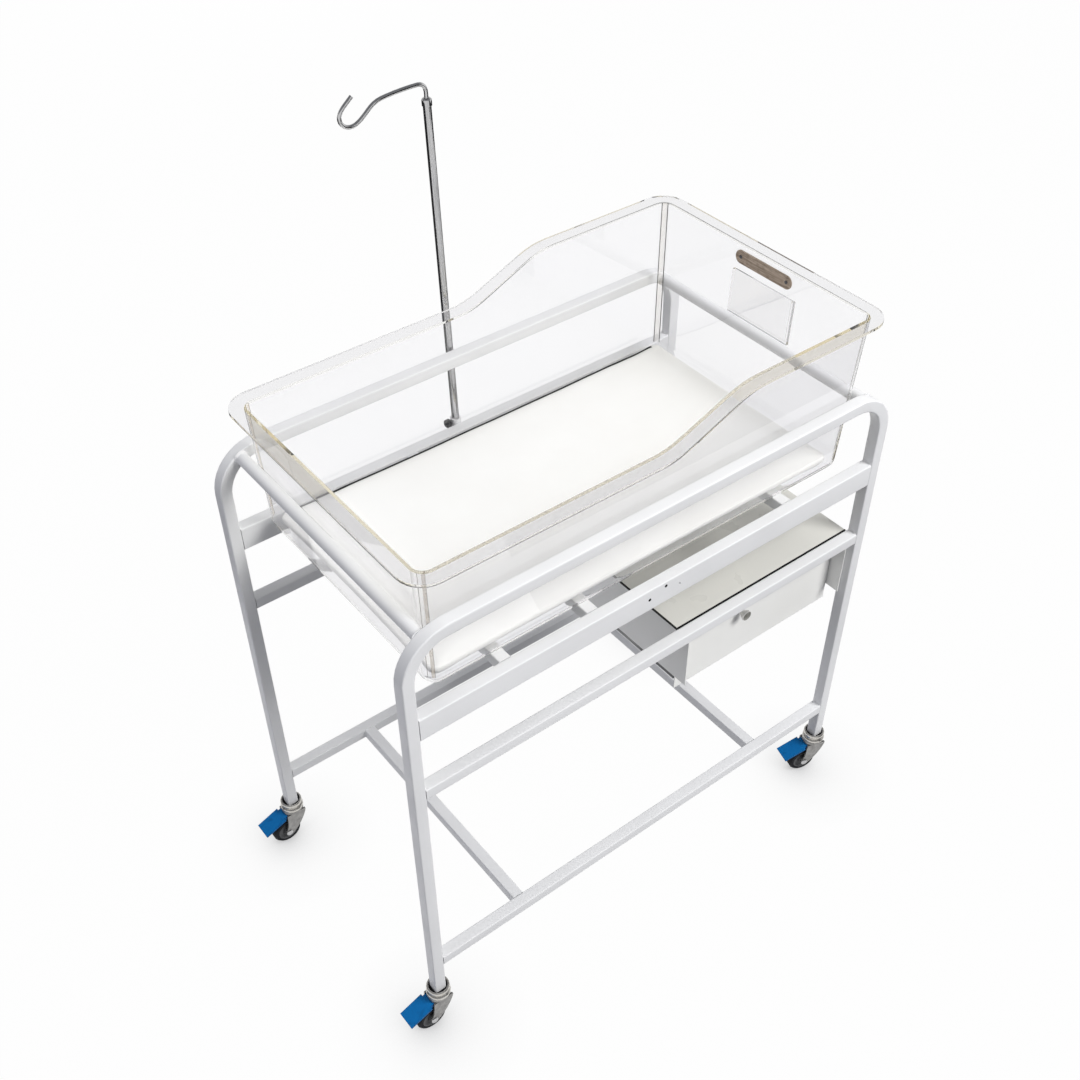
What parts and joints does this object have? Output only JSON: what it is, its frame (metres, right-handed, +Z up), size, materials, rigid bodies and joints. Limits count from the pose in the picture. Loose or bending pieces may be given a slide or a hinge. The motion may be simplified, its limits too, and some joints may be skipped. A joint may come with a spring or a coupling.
{
  "type": "hospital bassinet",
  "caption": "Wheeled hospital bassinet: clear stepped tub with a thin mattress on a bent steel tube frame with rails, a side drawer, a drip pole with hook, and swivel casters with brake pedals.",
  "frame": {"origin": "on the floor, under the middle of the outline seen from above", "axes": "+X towards the head end with the high rim, +Y towards the drip pole, -Y towards the drawer front, +Z up"},
  "size_m": [0.9532, 0.5178, 1.3134],
  "materials": {
    "powder_coat": "light grey powder coat, satin",
    "painted_sheet": "off-white painted sheet steel, satin",
    "dark_steel": "dark painted steel",
    "grey_metal": "zinc plated, satin",
    "polished_steel": "polished stainless steel",
    "clear_acrylic": "clear acrylic, glossy",
    "bronze_plate": "brushed bronze-coloured plate",
    "mattress_cover": "cream wipe-clean cover",
    "black_plastic": "black moulded plastic",
    "tyre_rubber": "black rubber",
    "grey_plastic": "grey moulded plastic",
    "blue_plastic": "blue moulded plastic"
  },
  "bodies": {
    "frame": {"front_arch": "powder_coat", "back_arch": "powder_coat", "foot_end_tube": "powder_coat", "head_end_tube": "powder_coat", "front_upper_rail": "powder_coat", "back_upper_rail": "powder_coat", "front_lower_rail": "powder_coat", "back_lower_rail": "powder_coat", "front_foot_rail": "powder_coat", "back_foot_rail": "powder_coat", "foot_floor_bar": "powder_coat", "head_floor_bar": "powder_coat", "tub_support_bar_1": "powder_coat", "tub_support_bar_2": "powder_coat", "tub_support_bar_3": "powder_coat", "drawer_shelf": "painted_sheet", "drawer_panel_foot": "painted_sheet", "drawer_panel_head": "painted_sheet", "drawer_back_plate": "painted_sheet", "drawer_runner_foot": "dark_steel", "drawer_runner_head": "dark_steel", "pole_socket": "powder_coat", "front_foot_caster_cup": "grey_metal", "front_foot_caster_race": "polished_steel", "front_head_caster_cup": "grey_metal", "front_head_caster_race": "polished_steel", "back_foot_caster_cup": "grey_metal", "back_foot_caster_race": "polished_steel", "back_head_caster_cup": "grey_metal", "back_head_caster_race": "polished_steel"},
    "tub": {"tub": "clear_acrylic", "card_holder": "clear_acrylic", "name_plate": "bronze_plate", "name_plate_rivet_front": "polished_steel", "name_plate_rivet_back": "polished_steel"},
    "mattress": {"mattress": "mattress_cover"},
    "drawer": {"drawer_front": "painted_sheet", "drawer_tray": "painted_sheet", "drawer_knob": "grey_metal"},
    "pole": {"drip_pole": "polished_steel", "pole_collar": "polished_steel"},
    "hook": {"drip_hook_rod": "polished_steel"},
    "clamp": {"clamp_knob": "black_plastic"},
    "front_foot_swivel": {"front_foot_fork": "grey_metal"},
    "front_foot_wheel": {"front_foot_tyre": "tyre_rubber", "front_foot_hub": "grey_plastic"},
    "front_foot_pedal": {"front_foot_brake_pedal": "blue_plastic"},
    "front_head_swivel": {"front_head_fork": "grey_metal"},
    "front_head_wheel": {"front_head_tyre": "tyre_rubber", "front_head_hub": "grey_plastic"},
    "front_head_pedal": {"front_head_brake_pedal": "blue_plastic"},
    "back_foot_swivel": {"back_foot_fork": "grey_metal"},
    "back_foot_wheel": {"back_foot_tyre": "tyre_rubber", "back_foot_hub": "grey_plastic"},
    "back_foot_pedal": {"back_foot_brake_pedal": "blue_plastic"},
    "back_head_swivel": {"back_head_fork": "grey_metal"},
    "back_head_wheel": {"back_head_tyre": "tyre_rubber", "back_head_hub": "grey_plastic"},
    "back_head_pedal": {"back_head_brake_pedal": "blue_plastic"}
  },
  "joints": [
    {"name": "tub_lift", "type": "slide", "parent": "frame", "child": "tub", "axis": [0, 0, 1], "range_m": [0, 0.16]},
    {"name": "mattress_lift", "type": "slide", "parent": "tub", "child": "mattress", "axis": [0, 0, 1], "range_m": [0, 0.29]},
    {"name": "drawer_slide", "type": "slide", "parent": "frame", "child": "drawer", "axis": [0, -1, 0], "range_m": [0, 0.3]},
    {"name": "pole_turn", "type": "hinge", "parent": "frame", "child": "pole", "pos_m": [0.00647, 0.25035, 0.69], "axis": [-0.0272, 0, 0.9996], "continuous": true},
    {"name": "hook_slide", "type": "slide", "parent": "pole", "child": "hook", "axis": [-0.0272, 0, 0.9996], "range_m": [0, 0.22]},
    {"name": "clamp_turn", "type": "hinge", "parent": "frame", "child": "clamp", "pos_m": [-0.00695, 0.25035, 0.74216], "axis": [0.9996, 0, 0.0272], "range_deg": [0, 360]},
    {"name": "front_foot_swivel_turn", "type": "hinge", "parent": "frame", "child": "front_foot_swivel", "pos_m": [-0.41103, -0.23855, 0.0775], "axis": [0, 0, 1], "continuous": true},
    {"name": "front_foot_wheel_spin", "type": "hinge", "parent": "front_foot_swivel", "child": "front_foot_wheel", "pos_m": [-0.43203, -0.23855, 0.027], "axis": [0, 1, 0], "continuous": true},
    {"name": "front_foot_pedal_press", "type": "hinge", "parent": "front_foot_swivel", "child": "front_foot_pedal", "pos_m": [-0.41903, -0.23855, 0.0645], "axis": [0, -1, 0], "range_deg": [0, 12]},
    {"name": "front_head_swivel_turn", "type": "hinge", "parent": "frame", "child": "front_head_swivel", "pos_m": [0.45497, -0.23855, 0.0775], "axis": [0, 0, 1], "continuous": true},
    {"name": "front_head_wheel_spin", "type": "hinge", "parent": "front_head_swivel", "child": "front_head_wheel", "pos_m": [0.43478, -0.23276, 0.027], "axis": [0.2756, 0.9613, 0], "continuous": true},
    {"name": "front_head_pedal_press", "type": "hinge", "parent": "front_head_swivel", "child": "front_head_pedal", "pos_m": [0.44728, -0.23634, 0.0645], "axis": [-0.2756, -0.9613, 0], "range_deg": [0, 12]},
    {"name": "back_foot_swivel_turn", "type": "hinge", "parent": "frame", "child": "back_foot_swivel", "pos_m": [-0.41103, 0.23145, 0.0775], "axis": [0, 0, 1], "continuous": true},
    {"name": "back_foot_wheel_spin", "type": "hinge", "parent": "back_foot_swivel", "child": "back_foot_wheel", "pos_m": [-0.43203, 0.23145, 0.027], "axis": [0, 1, 0], "continuous": true},
    {"name": "back_foot_pedal_press", "type": "hinge", "parent": "back_foot_swivel", "child": "back_foot_pedal", "pos_m": [-0.41903, 0.23145, 0.0645], "axis": [0, -1, 0], "range_deg": [0, 12]},
    {"name": "back_head_swivel_turn", "type": "hinge", "parent": "frame", "child": "back_head_swivel", "pos_m": [0.45497, 0.23145, 0.0775], "axis": [0, 0, 1], "continuous": true},
    {"name": "back_head_wheel_spin", "type": "hinge", "parent": "back_head_swivel", "child": "back_head_wheel", "pos_m": [0.43397, 0.23145, 0.027], "axis": [0, 1, 0], "continuous": true},
    {"name": "back_head_pedal_press", "type": "hinge", "parent": "back_head_swivel", "child": "back_head_pedal", "pos_m": [0.44697, 0.23145, 0.0645], "axis": [0, -1, 0], "range_deg": [0, 12]}
  ]
}
